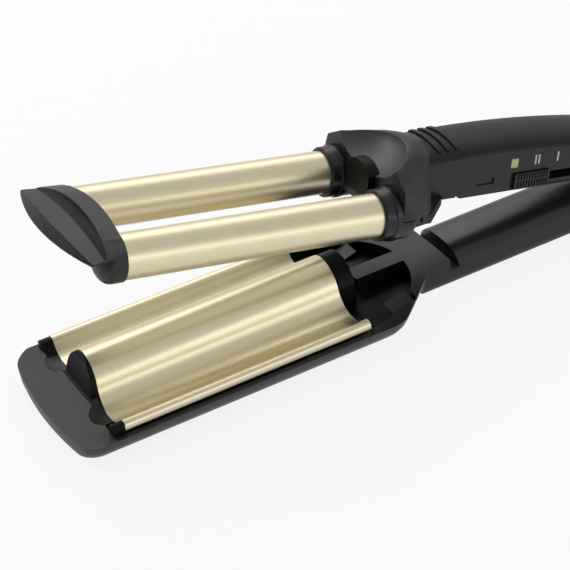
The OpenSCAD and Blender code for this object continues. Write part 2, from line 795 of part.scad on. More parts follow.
module lower_shell() {
    inner = lower_half - lower_wall;
    color(dark) difference() {
        union() {
            intersection() {
                tray_body();
                block([-tip_l - 1, -tray_w, 0], [0, tray_w, seam_z]);
            }
            intersection() {
                along_x(neck_x - 4, ear_r) lower_section(edge_z);
                union() {
                    block([neck_x - 5, -40, 0], [20, 40, seam_z]);
                    block([groove_front, -40, 0], [20, 40, 9]);
                    block([groove_rear, -40, 0], [20, 40, edge_z]);
                }
            }
            intersection() {
                along_x(-40, ear_r) lower_section(40);
                along_y(-40, 40) ear_outline();
                union() {
                    block([-40, -40, 0], [20, ear_t - lower_half, 50]);
                    block([-40, lower_half - ear_t, 0], [20, 40, 50]);
                    block([-40, -40, 0], [20, 40, 6]);
                }
            }
        }
        difference() {
            union() {
                block([well_front, -ledge_half, floor_t], [well_rear, ledge_half, 40]);
                block([fin_front, -fin_half, floor_t], [well_front + 1, fin_half, 40]);
                block([-plate_rear - 1, -12, floor_t], [neck_x + 2, 12, 40]);
                block([neck_x, 2 - inner, floor_t], [groove_front, inner - 2, 40]);
                block([groove_front - 1, 2 - inner, floor_t], [groove_rear + 1, inner - 2, 7]);
                block([groove_rear, -inner, floor_t], [-15.8, inner, 40]);
            }
            for (p = shell_posts) translate([p[0], p[1], 0]) cylinder(h = seam_z, r = 3.4);
        }
        for (p = shell_posts) translate([p[0], p[1], -1]) {
            cylinder(h = 30, r = screw_hole);
            cylinder(h = 4, r = screw_head + 0.2);
        }
        translate([0, 0, hinge_z]) rod_y(-lower_half - 1, lower_half + 1, pin_d / 2);
    }
}

// Rim, ramp and neck above the seam
recess_r = 38.3;
module neck_recess() {
    difference() {
        translate([-167, 0, 8.5]) cylinder(h = 30, r = recess_r, $fn = 128);
        block([-153, -4.7, 0], [-100, 4.7, 40]);
        block([-250, -60, 0], [well_rear - eps, 60, 40]);
    }
}

module tray_frame() {
    // Ramps on the floor of the recesses
    color(dark) mirrored() along_y(-29, -20) polygon([[-151, 8], [-139, 8], [-139, 11.2]]);
    color(dark) difference() {
        intersection() {
            union() {
                tray_body();
                along_x(neck_x - 4, groove_front) lower_section(20);
            }
            translate([0, 0, neck_z - 300]) rod_x(-tip_l - 1, 0, 300, $fn = 360);
            along_y(-60, 60) polygon([
                [-tip_l - 1, seam_z], [-100, seam_z], [-100, 20], [block_front + 3, 20],
                [block_front + 1, 13.4], [-tip_l - 1, 8.9]
            ]);
        }
        block([well_front, -well_half, ledge_z], [well_rear, well_half, 40]);
        block([well_front, -ledge_half, 0], [well_rear, ledge_half, 40]);
        block([fin_front, -fin_half, 0], [well_front + 1, fin_half, 40]);
        mirrored() block([block_front, lip_half, ledge_z], [well_front + 1, well_half, 40]);
        neck_recess();
        // Room for the head's hoods when closed
        mirrored() translate([0, barrel_y, hinge_z]) rod_x(head_x - 6, head_x + 8.6, hood_r + 0.5);
        block([well_rear - 1, -10, 0], [neck_x - 8, 10, seam_z + 0.4]);
        // Shallow scoops ahead of the troughs
        mirrored() translate([plate_front - 1.6, -barrel_y - 0.4, trough_z + 14]) rotate([90, 0, 0]) sphere(14);
        for (p = shell_posts) if (p[0] < -100)
            translate([p[0], p[1], 0]) cylinder(h = p[0] < -280 ? 8.6 : 10, r = screw_pilot);
    }
}

// Dome over the lower handle
module handle_cover() {
    inner = lower_half - lower_wall - fit;
    color(gloss) difference() {
        union() {
            along_x(groove_rear, -15.9) intersection() {
                translate([0, lower_crown - 24]) circle(24, $fn = 128);
                translate([-lower_half, edge_z]) square([lower_w, 20]);
            }
            block([groove_rear + 1.6, -inner, edge_z - 2.4], [-17, inner, edge_z + 1]);
        }
        along_x(groove_rear + 1.6, -17.5) intersection() {
            translate([0, lower_crown - 24]) circle(22, $fn = 128);
            translate([-inner + 1.6, 0]) square([2 * inner - 3.2, 20]);
        }
        // The hinge ears rise through its corners
        mirrored() along_y(lower_half - ear_t - fit, lower_half + 1) translate([0, fit]) ear_outline();
    }
    color(gloss) difference() {
        translate([-60, 0, seam_z]) cylinder(h = lower_crown - seam_z - 1, r = 3.2);
        translate([-60, 0, seam_z - 1]) cylinder(h = 7, r = screw_pilot);
    }
}

// The ridge's round runs smoothly into the trough's
ridge_r = (barrel_y * barrel_y + ridge_h * ridge_h - trough_r * trough_r) / 2 / (trough_r + ridge_h);
join_a = atan2(ridge_r - ridge_h, barrel_y);

// Upper side of half a wave, from the ridge to the rolled edge; g thickens it downwards
function wave_half(g) = concat(
    arc(0, ridge_z - ridge_r, ridge_r - g, 90, join_a, 12),
    [for (i = [1:14]) let (a = 180 + join_a + (90 - join_a) * i / 14)
        [barrel_y + (trough_r + g) * cos(a), hinge_z + (trough_r + g) * sin(a)]],
    arc(barrel_y + 1.7, trough_z + 12.2, 12.2 + g, 270, 321, 9),
    arc(barrel_y + 14.6, trough_z + 1.85, 4.36 - g, 140, 90, 6),
    arc(barrel_y + 14.7, trough_z + 4.3, 1.9 - g, 90, 0, 5),
    [[barrel_y + 16.6 - g, trough_z + 2.6]]
);
function wave_line(g) = concat([for (p = turned(wave_half(g))) [-p[0], p[1]]], wave_half(g));

// What lies behind the leaning plane of the plate's front edge, moved by g
module behind_edge(g) {
    top = ridge_z + 2;
    along_y(-tray_w, tray_w) polygon([
        [plate_front + g + end_lean * (floor_t - trough_z), floor_t], [0, floor_t],
        [0, top], [plate_front + g + end_lean * (top - trough_z), top]
    ]);
}

module wave_plate() {
    color(gold) intersection() {
        along_x(plate_front - 1, -plate_rear)
            polygon(concat(wave_line(0), turned(wave_line(plate_t))));
        behind_edge(0);
    }
}

// Fills the wave's section down to z0, lowered by g
module wave_fill(g, z0, half) {
    intersection() {
        polygon(concat([[-half - 10, z0]], wave_line(g), [[half + 10, z0]]));
        translate([-half, z0]) square([2 * half, 60]);
    }
}

// Block that carries the plate, with a channel under the ridge
module plate_carrier() {
    color(black) intersection() {
        along_x(plate_front, -plate_rear) difference() {
            wave_fill(plate_t + fit, floor_t, ledge_half - 0.3);
            translate([-9, ridge_z - 9]) square([18, 20]);
            translate([-8, 6]) square([16, ridge_z - 17]);
            for (y = [-20, 20]) translate([y - 5, 1]) square([10, 5.4]);
        }
        behind_edge(0);
    }
}

// Ceramic bar that lies against the ridge from below
module plate_heater() {
    color(ceramic) along_x(plate_front + 6, -plate_rear - 6) intersection() {
        wave_fill(plate_t + fit, floor_t, 6.8);
        translate([-6.8, ridge_z - 9 + fit]) square([13.6, 12]);
    }
}

module front_end_block() {
    color(black) {
        // Fin that closes the ridge; its front face leans back
        difference() {
            along_x(fin_front + fit, plate_front + 2) intersection() {
                wave_fill(0.3, floor_t, fin_half - fit);
                translate([-fin_half, floor_t]) square([2 * fin_half, 60]);
            }
            behind_edge(-eps);
            along_y(-20, 20) polygon([
                [fin_front - 1, 14], [fin_front - 1, 50], [plate_front + 0.9, 50], [plate_front + 0.9, ridge_z - 0.8],
                [plate_front - 0.2, ridge_z - 2.4], [fin_front + 0.3, 15]
            ]);
        }
        // Blocks that close the lips of the plate
        mirrored() difference() {
            along_x(block_front + fit, plate_front + 2) intersection() {
                wave_fill(0.3, ledge_z, well_half - 0.3);
                translate([lip_half + fit, ledge_z]) square([20, 20]);
            }
            behind_edge(-eps);
        }
    }
}

module rear_end_block() {
    color(black) along_x(well_rear, -plate_rear + 8.4) wave_fill(0.3, 8.5, fin_half - 0.4);
}

module shell_screws() {
    color(steel) for (p = shell_posts)
        translate([p[0], p[1], 3]) screw(p[0] < -280 ? 5.2 : p[0] < -100 ? 6.4 : 9);
}

// ---- pieces
lower_shell();
tray_frame();
handle_cover();
wave_plate();
plate_carrier();
plate_heater();
front_end_block();
rear_end_block();
shell_screws();
barrel_near();
barrel_far();
collar_near();
collar_far();
heater_core_near();
heater_core_far();
heater_strips();
front_cap();
head_top();
head_bottom();
handle_top();
handle_body();
circuit_board();
switch_box();
switch_slider();
indicator_window();
handle_screws();
hinge_pin();
hinge_bushes();
hinge_spring();
cord_outlet();
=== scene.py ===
import json
from math import pi, radians, sqrt

import bmesh
import bpy
from mathutils import Matrix, Vector

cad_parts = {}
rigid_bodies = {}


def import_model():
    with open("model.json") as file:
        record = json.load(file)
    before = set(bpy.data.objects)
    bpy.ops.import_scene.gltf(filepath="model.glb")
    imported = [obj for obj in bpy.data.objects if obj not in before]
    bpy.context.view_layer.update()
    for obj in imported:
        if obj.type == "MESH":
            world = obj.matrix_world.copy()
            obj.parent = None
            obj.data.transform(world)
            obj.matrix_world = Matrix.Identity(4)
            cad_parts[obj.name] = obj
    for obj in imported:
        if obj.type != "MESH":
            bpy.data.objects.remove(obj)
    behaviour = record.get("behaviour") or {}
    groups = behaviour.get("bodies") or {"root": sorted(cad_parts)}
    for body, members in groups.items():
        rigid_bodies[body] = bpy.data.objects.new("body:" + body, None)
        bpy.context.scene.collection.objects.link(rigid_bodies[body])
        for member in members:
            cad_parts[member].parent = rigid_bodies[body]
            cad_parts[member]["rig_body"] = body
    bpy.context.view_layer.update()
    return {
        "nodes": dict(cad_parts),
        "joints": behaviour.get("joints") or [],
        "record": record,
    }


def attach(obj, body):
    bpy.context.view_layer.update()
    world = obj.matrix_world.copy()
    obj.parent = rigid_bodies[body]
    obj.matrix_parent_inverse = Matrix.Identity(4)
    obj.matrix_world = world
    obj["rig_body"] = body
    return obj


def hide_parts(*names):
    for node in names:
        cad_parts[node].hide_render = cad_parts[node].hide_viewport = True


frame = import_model()
nodes = frame["nodes"]
print("frame loaded:", len(nodes), "nodes")


def addToScene(name, data):
    added = bpy.data.objects.new(name, data)
    bpy.context.scene.collection.objects.link(added)
    return added


# The camera stands where the photograph was taken from.
photoCamera = {
    "place": (-0.49044, -0.67687, 0.50741),
    "turn": (56.625, 6.603, -28.622),
    "lens": 130.49,
    "sensor": 36.0,
    "nearest": 0.01,
}


def makeCamera(settings):
    camera = addToScene("photoCamera", bpy.data.cameras.new("photoCamera"))
    camera.data.lens = settings["lens"]
    camera.data.sensor_width = settings["sensor"]
    camera.data.clip_start = settings["nearest"]
    camera.location = settings["place"]
    camera.rotation_euler = [radians(angle) for angle in settings["turn"]]
    bpy.context.scene.camera = camera


makeCamera(photoCamera)
print("camera placed")

# The upper arm's own direction at rest, read from the slide switch's joint.
joints = {joint["name"]: joint for joint in frame["joints"]}
armAxis = Vector(joints["switch_slide"]["axis"])
armTilt = Vector((1, 0, 0)).angle(armAxis)
hingePlace = Vector(joints["arm_hinge"]["pos_m"])
# Closed-arm sizes are measured along the arm from the hinge and turned open by this.
toUpper = Matrix.Translation(hingePlace) @ Matrix.Rotation(armTilt, 4, "Y")


def startMaterial(name, **sockets):
    material = bpy.data.materials.new(name)
    material.use_nodes = True
    tree = material.node_tree
    shader = tree.nodes["Principled BSDF"]
    for key, value in sockets.items():
        shader.inputs[key.replace("_", " ")].default_value = value
    return material, tree, shader


def addNode(tree, kind, inputs=None, **settings):
    node = tree.nodes.new(kind)
    for key, value in settings.items():
        setattr(node, key, value)
    for key, value in (inputs or {}).items():
        if isinstance(value, bpy.types.NodeSocket):
            tree.links.new(value, node.inputs[key])
        else:
            node.inputs[key].default_value = value
    return node


def objectPlace(tree, scale=(1, 1, 1), turn=(0, 0, 0)):
    # The pattern is turned into line with the piece first and stretched after.
    coordinates = addNode(tree, "ShaderNodeTexCoord")
    turned = addNode(tree, "ShaderNodeMapping", {
        "Vector": coordinates.outputs["Object"], "Rotation": turn,
    })
    stretched = addNode(tree, "ShaderNodeMapping", {
        "Vector": turned.outputs["Vector"], "Scale": scale,
    })
    return stretched.outputs["Vector"]


def noiseOn(tree, place, scale, detail, rough=0.55):
    return addNode(tree, "ShaderNodeTexNoise", {
        "Vector": place, "Scale": scale, "Detail": detail, "Roughness": rough,
    }).outputs["Fac"]


def colorOn(tree, shader, factor, spread, *shades):
    ramp = addNode(tree, "ShaderNodeValToRGB", {"Fac": factor})
    for element, place, shade in zip(ramp.color_ramp.elements, spread, shades):
        element.position = place
        element.color = (*shade, 1)
    tree.links.new(ramp.outputs["Color"], shader.inputs["Base Color"])


def glossOn(tree, shader, factor, gloss):
    low, high = gloss
    rough = addNode(tree, "ShaderNodeMapRange", {
        "Value": factor, "To Min": low, "To Max": high,
    })
    tree.links.new(rough.outputs["Result"], shader.inputs["Roughness"])


def bumpOn(tree, shader, height, strength, distance):
    bump = addNode(tree, "ShaderNodeBump", {
        "Height": height, "Strength": strength, "Distance": distance,
    })
    tree.links.new(bump.outputs["Normal"], shader.inputs["Normal"])


# What every moulding has unless its own settings say otherwise.
mouldedLook = {
    "cloud": 60, "cloudDetail": 4, "spread": (0.3, 0.7),
    "grain": 3800, "grainDetail": 2, "grainRough": 0.6, "depth": 0.3, "height": 0.00006,
}


def mouldedPlastic(name, settings):
    # Fine spark-eroded grain with a soft mottling in colour and gloss.
    look = {**mouldedLook, **settings}
    material, tree, shader = startMaterial(name, Specular_IOR_Level=look["shine"])
    place = objectPlace(tree)
    cloud = noiseOn(tree, place, look["cloud"], look["cloudDetail"])
    grain = noiseOn(tree, place, look["grain"], look["grainDetail"], look["grainRough"])
    colorOn(tree, shader, cloud, look["spread"], look["deep"], look["color"])
    glossOn(tree, shader, cloud, look["gloss"])
    bumpOn(tree, shader, grain, look["depth"], look["height"])
    return material


charcoalPlastic = mouldedPlastic("charcoalPlastic", {
    "color": (0.0135, 0.0135, 0.0150), "deep": (0.0105, 0.0105, 0.0118),
    "shine": 0.36, "gloss": (0.38, 0.46),
})
# The grip's crown is the most matt, and the head's scoop is a lighter copy of the plastic with a
# stronger shine, a painted highlight.
gripPlastic = mouldedPlastic("gripPlastic", {
    "color": (0.0120, 0.0120, 0.0134), "deep": (0.0092, 0.0092, 0.0104),
    "shine": 0.20, "gloss": (0.44, 0.52),
})
scoopHighlightPlastic = mouldedPlastic("scoopHighlightPlastic", {
    "color": (0.0230, 0.0230, 0.0250), "deep": (0.0195, 0.0195, 0.0213),
    "shine": 0.75, "gloss": (0.42, 0.48), "depth": 0.2,
})
collarPlastic = mouldedPlastic("collarPlastic", {
    "color": (0.0095, 0.0090, 0.0098), "deep": (0.0075, 0.0070, 0.0078),
    "shine": 0.4, "gloss": (0.24, 0.32), "grain": 3000, "depth": 0.15,
})
glossPlastic = mouldedPlastic("glossPlastic", {
    "color": (0.0200, 0.0195, 0.0220), "deep": (0.0160, 0.0155, 0.0175),
    "shine": 0.45, "gloss": (0.30, 0.38), "cloud": 45, "grain": 2200, "depth": 0.12,
})
blackPlastic = mouldedPlastic("blackPlastic", {
    "color": (0.0032, 0.0032, 0.0036), "deep": (0.0022, 0.0022, 0.0025),
    "shine": 0.14, "gloss": (0.42, 0.52), "cloud": 70, "grain": 3000,
})
heaterCeramic = mouldedPlastic("heaterCeramic", {
    "color": (0.78, 0.75, 0.67), "deep": (0.70, 0.67, 0.59),
    "shine": 0.5, "gloss": (0.5, 0.65), "cloud": 200, "grain": 2600,
})
boardGreen = mouldedPlastic("boardGreen", {
    "color": (0.02, 0.11, 0.045), "deep": (0.014, 0.08, 0.032),
    "shine": 0.5, "gloss": (0.25, 0.4), "cloud": 300, "grain": 1800, "depth": 0.15,
})

# What every metal has unless its own settings say otherwise.
metalLook = {
    "metallic": 1.0, "ior": 1.5, "tilt": 0.0, "streakDetail": 4, "streakRough": 0.6,
    "cloud": 160, "cloudDetail": 3, "cloudStretch": 0.05, "spread": (0.25, 0.75),
    "height": 0.00008,
}


def brushedMetal(name, settings):
    # Drawn tube and sheet: fine streaks along the length under a thin tinted coating.
    look = {**metalLook, **settings}
    material, tree, shader = startMaterial(name, Metallic=look["metallic"], IOR=look["ior"])
    turn = (0, -look["tilt"], 0)
    streakPlace = objectPlace(tree, (look["stretch"], 1, 1), turn)
    cloudPlace = objectPlace(tree, (look["cloudStretch"], 1, 1), turn)
    streaks = noiseOn(tree, streakPlace, look["streaks"], look["streakDetail"], look["streakRough"])
    cloud = noiseOn(tree, cloudPlace, look["cloud"], look["cloudDetail"])
    colorOn(tree, shader, cloud, look["spread"], look["deep"], look["color"])
    glossOn(tree, shader, streaks, look["gloss"])
    bumpOn(tree, shader, streaks, look["depth"], look["height"])
    return material


champagneColor = {"color": (0.765, 0.690, 0.495), "deep": (0.705, 0.630, 0.440)}
# The plate is drawn through a die, which leaves broader lines along it.
champagnePlate = brushedMetal("champagnePlate", {
    **champagneColor, "streaks": 420, "stretch": 0.006, "gloss": (0.30, 0.40), "depth": 0.42,
})
champagneBarrel = brushedMetal("champagneBarrel", {
    **champagneColor, "streaks": 1400, "stretch": 0.012, "gloss": (0.35, 0.41), "depth": 0.06,
    "tilt": armTilt,
})
turnedStreaks = {"streaks": 1500, "stretch": 0.3, "gloss": (0.25, 0.4), "depth": 0.2}
steelMetal = brushedMetal("steelMetal", {
    "color": (0.56, 0.57, 0.59), "deep": (0.46, 0.47, 0.49), **turnedStreaks,
})
brassMetal = brushedMetal("brassMetal", {
    "color": (0.66, 0.43, 0.13), "deep": (0.56, 0.35, 0.1), **turnedStreaks,
})
coreMetal = brushedMetal("coreMetal", {
    "color": (0.60, 0.61, 0.62), "deep": (0.5, 0.51, 0.52),
    "streaks": 1100, "stretch": 0.05, "gloss": (0.35, 0.5), "depth": 0.25, "tilt": armTilt,
})

amberLook = {
    "middle": (0.58, 0.54, 0.25), "rim": (0.42, 0.38, 0.15), "spread": (0.0, 0.8),
    "ior": 1.49, "coat": 0.5, "coatGloss": 0.08, "gloss": 0.3,
    "pebbles": 1500, "depth": 0.3, "height": 0.0001,
}


def amberWindow(look):
    # Clear amber moulding with a pebbled back that scatters the lamp behind it.
    material, tree, shader = startMaterial(
        "amberWindow", IOR=look["ior"], Roughness=look["gloss"],
        Coat_Weight=look["coat"], Coat_Roughness=look["coatGloss"])
    pebbles = addNode(tree, "ShaderNodeTexVoronoi", {
        "Vector": objectPlace(tree), "Scale": look["pebbles"],
    }).outputs["Distance"]
    colorOn(tree, shader, pebbles, look["spread"], look["middle"], look["rim"])
    bumpOn(tree, shader, pebbles, look["depth"], look["height"])
    return material


amberIndicator = amberWindow(amberLook)

paintLook = {
    "deep": (0.50, 0.47, 0.38), "color": (0.58, 0.55, 0.46), "spread": (0.3, 0.7),
    "ior": 1.5, "gloss": (0.4, 0.55), "speckle": 2500, "detail": 3,
}


def paintedMark(look):
    material, tree, shader = startMaterial("paintedMark", IOR=look["ior"])
    speckle = noiseOn(tree, objectPlace(tree), look["speckle"], look["detail"])
    colorOn(tree, shader, speckle, look["spread"], look["deep"], look["color"])
    glossOn(tree, shader, speckle, look["gloss"])
    return material


markPaint = paintedMark(paintLook)
print("materials made")

slotMaterial = {
    "charcoal_plastic": charcoalPlastic,
    "dark_gloss_plastic": glossPlastic,
    "black_plastic": blackPlastic,
    "champagne_metal": champagnePlate,
    "core_aluminium": coreMetal,
    "ceramic": heaterCeramic,
    "board_green": boardGreen,
    "indicator_gold": amberIndicator,
    "steel": steelMetal,
    "brass": brassMetal,
}
nodeSlot = {part["node"]: part["material_slot"] for part in frame["record"]["subparts"]}
nodeBody = {name: part["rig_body"] for name, part in nodes.items()}


def setMaterial(piece, material):
    piece.data.materials.clear()
    piece.data.materials.append(material)


for name, part in nodes.items():
    setMaterial(part, slotMaterial[nodeSlot[name]])


def addPiece(name, mesh, body, slotName, material=None):
    piece = addToScene(name, mesh)
    setMaterial(piece, material or slotMaterial[slotName])
    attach(piece, body)
    return piece


def meshFrom(name, bm):
    mesh = bpy.data.meshes.new(name)
    bm.to_mesh(mesh)
    bm.free()
    return mesh


def wholeOf(bm):
    return bm.verts[:] + bm.edges[:] + bm.faces[:]


def softenEdges(mesh, sharpAngle):
    bm = bmesh.new()
    bm.from_mesh(mesh)
    for face in bm.faces:
        face.smooth = True
    for edge in bm.edges:
        edge.smooth = edge.calc_face_angle(0) < radians(sharpAngle)
    bm.to_mesh(mesh)
    bm.free()


def roundEdges(piece, width, segments, angle):
    bevel = piece.modifiers.new("edges", "BEVEL")
    bevel.width = width
    bevel.segments = segments
    bevel.limit_method = "ANGLE"
    bevel.angle_limit = radians(angle)
    bevel.harden_normals = True
    return bevel


# The lower grip's cover is moulded with a flatter crown and rounder shoulders
# in front of "full"; behind "plain", at the hinge ears, it keeps the frame's dome.
gripDome = {
    "crown": 0.0162, "radius": 0.024, "half": 0.0164, "power": 4.2,
    "full": -0.050, "plain": -0.030, "cuts": 10, "reach": 0.00005,
}


def flattenDome(mesh, settings=gripDome):
    bm = bmesh.new()
    bm.from_mesh(mesh)
    run = settings["plain"] - settings["full"]
    for index in range(settings["cuts"] + 1):
        place = settings["full"] + run * index / settings["cuts"]
        bmesh.ops.bisect_plane(bm, geom=wholeOf(bm), plane_co=(place, 0, 0), plane_no=(1, 0, 0))
    radius, half = settings["radius"], settings["half"]
    edgeFall = radius - sqrt(radius ** 2 - half ** 2)
    for vert in bm.verts:
        across = min(abs(vert.co.y), half)
        fall = radius - sqrt(radius ** 2 - across ** 2)
        if abs(vert.co.z - settings["crown"] + fall) < settings["reach"]:
            share = min(max((settings["plain"] - vert.co.x) / run, 0), 1)
            flatter = edgeFall * (across / half) ** settings["power"]
            vert.co.z += share * share * (3 - 2 * share) * (fall - flatter)
    bm.to_mesh(mesh)
    bm.free()


# How each frame solid is welded, rid of triangles and rounded.
dressing = {"weld": 2e-6, "flat": 0.3, "sharp": 32, "segments": 2}

dressed = {
    "nearBarrel": {"node": "barrel_near", "bevel": 0.0001, "material": champagneBarrel},
    "farBarrel": {"node": "barrel_far", "bevel": 0.0001, "material": champagneBarrel},
    "nearCollar": {"node": "collar_near", "bevel": 0.0002, "material": collarPlastic},
    "farCollar": {"node": "collar_far", "bevel": 0.0002, "material": collarPlastic},
    "tipCap": {"node": "front_cap", "bevel": 0.00015},
    "headLower": {"node": "head_bottom", "bevel": 0.0004},
    # The grip's rounded rib and seam edges are painted black as painted shade.
    "gripUpper": {"node": "handle_top", "bevel": 0.0004, "material": gripPlastic,
                  "groove": blackPlastic},
    "gripLower": {"node": "handle_body", "bevel": 0.0003},
    "wavePlate": {"node": "wave_plate", "bevel": 0.0002},
    "traySurround": {"node": "tray_frame", "bevel": 0.0005},
    "trayShell": {"node": "lower_shell", "bevel": 0.0004},
    "lowerGripCover": {"node": "handle_cover", "bevel": 0.0008, "shape": flattenDome},
    "frontStops": {"node": "front_end_block", "bevel": 0.0003},
    "rearStop": {"node": "rear_end_block", "bevel": 0.0007},
    "slideButton": {"node": "switch_slider", "bevel": 0.0002, "material": charcoalPlastic},
    "lampWindow": {"node": "indicator_window", "bevel": 0.00015},
    "cordSleeve": {"node": "cord_outlet", "bevel": 0.0002},
}


def solidCopy(nodeName):
    bm = bmesh.new()
    bm.from_mesh(nodes[nodeName].data)
    bmesh.ops.remove_doubles(bm, verts=bm.verts, dist=dressing["weld"])
    bmesh.ops.dissolve_limit(bm, angle_limit=radians(dressing["flat"]),
                             verts=bm.verts, edges=bm.edges)
    return meshFrom(nodeName + "Mesh", bm)


def dressNode(pieceName, settings):
    nodeName = settings["node"]
    mesh = solidCopy(nodeName)
    if "shape" in settings:
        settings["shape"](mesh)
    softenEdges(mesh, dressing["sharp"])
    piece = addPiece(pieceName, mesh, nodeBody[nodeName], nodeSlot[nodeName],
                     settings.get("material"))
    bevel = roundEdges(piece, settings["bevel"], dressing["segments"], dressing["sharp"])
    if "groove" in settings:
        # The rounded edges of the ribs and seams are painted black, painted shade in the grooves.
        piece.data.materials.append(settings["groove"])
        bevel.material = 1
    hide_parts(nodeName)
    return piece


pieces = {pieceName: dressNode(pieceName, settings) for pieceName, settings in dressed.items()}
print("frame solids dressed")

# The floor and walls of the two recesses behind the plate are painted black, painted shade for
# their depth.
recessShadePaint = {
    "centre": -0.167, "radius": 0.0384, "front": -0.1654,
    "bar": 0.0046, "top": 0.0145,
    "ramp": {"from": -0.1512, "to": -0.1388, "floor": 0.0086, "rise": 0.2},
}


def paintRecessShade(piece, settings):
    piece.data.materials.append(blackPlastic)
    ramp = settings["ramp"]
    for face in piece.data.polygons:
        x, y, z = face.center
        reach = Vector((x - settings["centre"], y)).length
        inside = reach < settings["radius"] and x > settings["front"]
        onBar = abs(y) < settings["bar"] and z > settings["top"]
        onRamp = (ramp["from"] < x < ramp["to"] and z > ramp["floor"]
                  and face.normal.z > ramp["rise"])
        if inside and not onBar and not onRamp:
            face.material_index = 1


paintRecessShade(pieces["traySurround"], recessShadePaint)
print("recesses blackened")

# The cap's hollow between its lip and its crown, and the undersides of its finger ribs, are painted
# black as painted shade.
capHollowShade = {
    "front": -0.2854, "rear": -0.2775, "low": 0.006, "lean": -0.3,
    "ribs": {"low": 0.0051, "high": 0.0098, "overhang": -0.15},
}


def paintHollowShade(piece, settings):
    piece.data.materials.append(blackPlastic)
    ribs = settings["ribs"]
    toClosed = toUpper.inverted()
    for face in piece.data.polygons:
        center = toClosed @ face.center
        normal = toClosed.to_3x3() @ face.normal
        inHollow = (settings["front"] < center.x < settings["rear"]
                    and center.z > settings["low"] and normal.x < settings["lean"])
        underRib = (center.x < settings["front"] and ribs["low"] < center.z < ribs["high"]
                    and normal.z < ribs["overhang"])
        if inHollow or underRib:
            face.material_index = 1


paintHollowShade(pieces["tipCap"], capHollowShade)
print("cap hollow blackened")

# The head's shell keeps the frame's outer form, moulded smooth, with a scooped front.
# Places are along the closed arm from the hinge.
headShell = {
    "wall": -0.147,      # front wall
    "proud": 0.0002,     # what stands further in front of the wall is the nose
    "seam": 0.0004,
    "rear": -0.1285,     # the ring round the handle keeps its form
    "weld": 1e-5,
    "voxel": 0.0008,
    "stages": [(0.0010, 30), (0.0016, 40), (0.0024, 50)],   # clear of the edges, passes
    "relax": 0.5,
    "sharp": 38,
    "scoop": {"place": (-0.160, 0, 0.027), "size": (0.0300, 0.0295, 0.0189),
              "segments": 128, "rings": 96, "skin": 0.01},
}


def settled(piece):
    # The piece's mesh with its modifiers applied.
    graph = bpy.context.evaluated_depsgraph_get()
    mesh = bpy.data.meshes.new_from_object(piece.evaluated_get(graph))
    bpy.data.objects.remove(piece)
    return mesh


def headForm(settings):
    bm = bmesh.new()
    bm.from_mesh(nodes["head_top"].data)
    bm.transform(toUpper.inverted())
    bmesh.ops.delete(bm, geom=bm.faces, context="FACES_ONLY")
    bmesh.ops.delete(bm, geom=bm.edges[:], context="EDGES_FACES")
    nose = [vert for vert in bm.verts if vert.co.x < settings["wall"] - settings["proud"]]
    bmesh.ops.delete(bm, geom=nose, context="VERTS")
    bmesh.ops.remove_doubles(bm, verts=bm.verts, dist=settings["weld"])
    hull = bmesh.ops.convex_hull(bm, input=bm.verts)
    spare = {item for key in ("geom_interior", "geom_unused") for item in hull[key]
             if isinstance(item, bmesh.types.BMVert)}
    bmesh.ops.delete(bm, geom=list(spare), context="VERTS")
    bmesh.ops.recalc_face_normals(bm, faces=bm.faces)
    form = addToScene("headForm", meshFrom("headForm", bm))
    remesh = form.modifiers.new("remesh", "REMESH")
    remesh.mode = "VOXEL"
    remesh.voxel_size = settings["voxel"]
    bm = bmesh.new()
    bm.from_mesh(settled(form))
    for clear, passes in settings["stages"]:
        free = [vert for vert in bm.verts
                if settings["wall"] + clear < vert.co.x < settings["rear"] - clear
                and vert.co.z > settings["seam"] + clear]
        for _ in range(passes):
            bmesh.ops.smooth_vert(bm, verts=free, factor=settings["relax"],
                                  use_axis_x=True, use_axis_y=True, use_axis_z=True)
    return addToScene("headForm", meshFrom("headForm", bm))


def scoopCutter(scoop):
    bm = bmesh.new()
    bmesh.ops.create_uvsphere(bm, u_segments=scoop["segments"], v_segments=scoop["rings"], radius=1)
    bmesh.ops.scale(bm, verts=bm.verts, vec=scoop["size"])
    bmesh.ops.translate(bm, verts=bm.verts, vec=scoop["place"])
    return addToScene("scoopCutter", meshFrom("scoopCutter", bm))


def onScoop(point, scoop):
    reach = Vector((point[i] - scoop["place"][i]) / scoop["size"][i] for i in range(3))
    return abs(reach.length - 1) < scoop["skin"]


def makeHead(settings):
    form = headForm(settings)
    cutter = scoopCutter(settings["scoop"])
    cut = form.modifiers.new("scoop", "BOOLEAN")
    cut.operation = "DIFFERENCE"
    cut.solver = "EXACT"
    cut.object = cutter
    mesh = settled(form)
    bpy.data.objects.remove(cutter)
    scooped = [onScoop(face.center, settings["scoop"]) for face in mesh.polygons]
    mesh.transform(toUpper)
    softenEdges(mesh, settings["sharp"])
    head = addPiece("headUpper", mesh, "upper_arm", "charcoal_plastic")
    # The scoop's faces take the lighter plastic, a painted highlight.
    mesh.materials.append(scoopHighlightPlastic)
    for face, paintedLighter in zip(mesh.polygons, scooped):
        face.material_index = int(paintedLighter)
    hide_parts("head_top")


makeHead(headShell)

# A half-round boss stands in the scoop, between the barrels.
headNose = {
    "radius": 0.0126, "segments": 96, "height": 0.0029, "half": 0.0095, "floor": 0.0004,
    "front": -0.1503, "rear": -0.1445, "sharp": 30,
    "edge": {"width": 0.0007, "segments": 3, "angle": 40},
}


